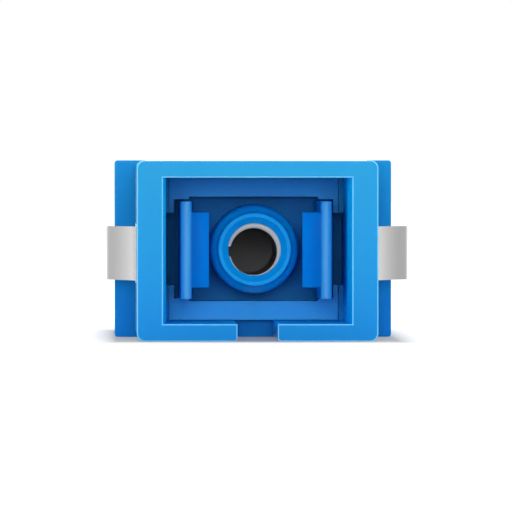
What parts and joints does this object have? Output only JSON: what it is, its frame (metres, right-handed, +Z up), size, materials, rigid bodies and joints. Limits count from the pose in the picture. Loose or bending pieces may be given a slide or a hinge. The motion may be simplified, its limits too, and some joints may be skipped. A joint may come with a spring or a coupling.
{
  "type": "sc fibre adapter",
  "caption": "Flangeless fibre adapter: a rectangular keyed port at each end, latch arms round a split alignment sleeve, a spring clip for a panel cut-out, and a dust cap in the rear port.",
  "frame": {"origin": "middle of the alignment sleeve on the port axis, at the joint between the two shells", "axes": "+Y along the port axis from the front port to the rear port, +Z up, key slots on the -Z side, +X to the right seen from the front port"},
  "size_m": [0.0161, 0.0308, 0.0096],
  "materials": {
    "shell_plastic": "blue moulded plastic, satin gloss",
    "latch_plastic": "blue moulded plastic, satin gloss",
    "sleeve_ceramic": "ground and polished zirconia",
    "clip_steel": "stamped stainless spring sheet, fine brushed",
    "cap_plastic": "dark charcoal moulded plastic, matte"
  },
  "bodies": {
    "adapter": {"front_shell": "shell_plastic", "rear_shell": "shell_plastic", "front_latch_body": "latch_plastic", "rear_latch_body": "latch_plastic", "alignment_sleeve": "sleeve_ceramic", "retaining_clip": "clip_steel"},
    "cap": {"dust_cap": "cap_plastic"}
  },
  "joints": [
    {"name": "cap_pull", "type": "slide", "parent": "adapter", "child": "cap", "axis": [0, 1, 0], "range_m": [0, 0.012]}
  ]
}
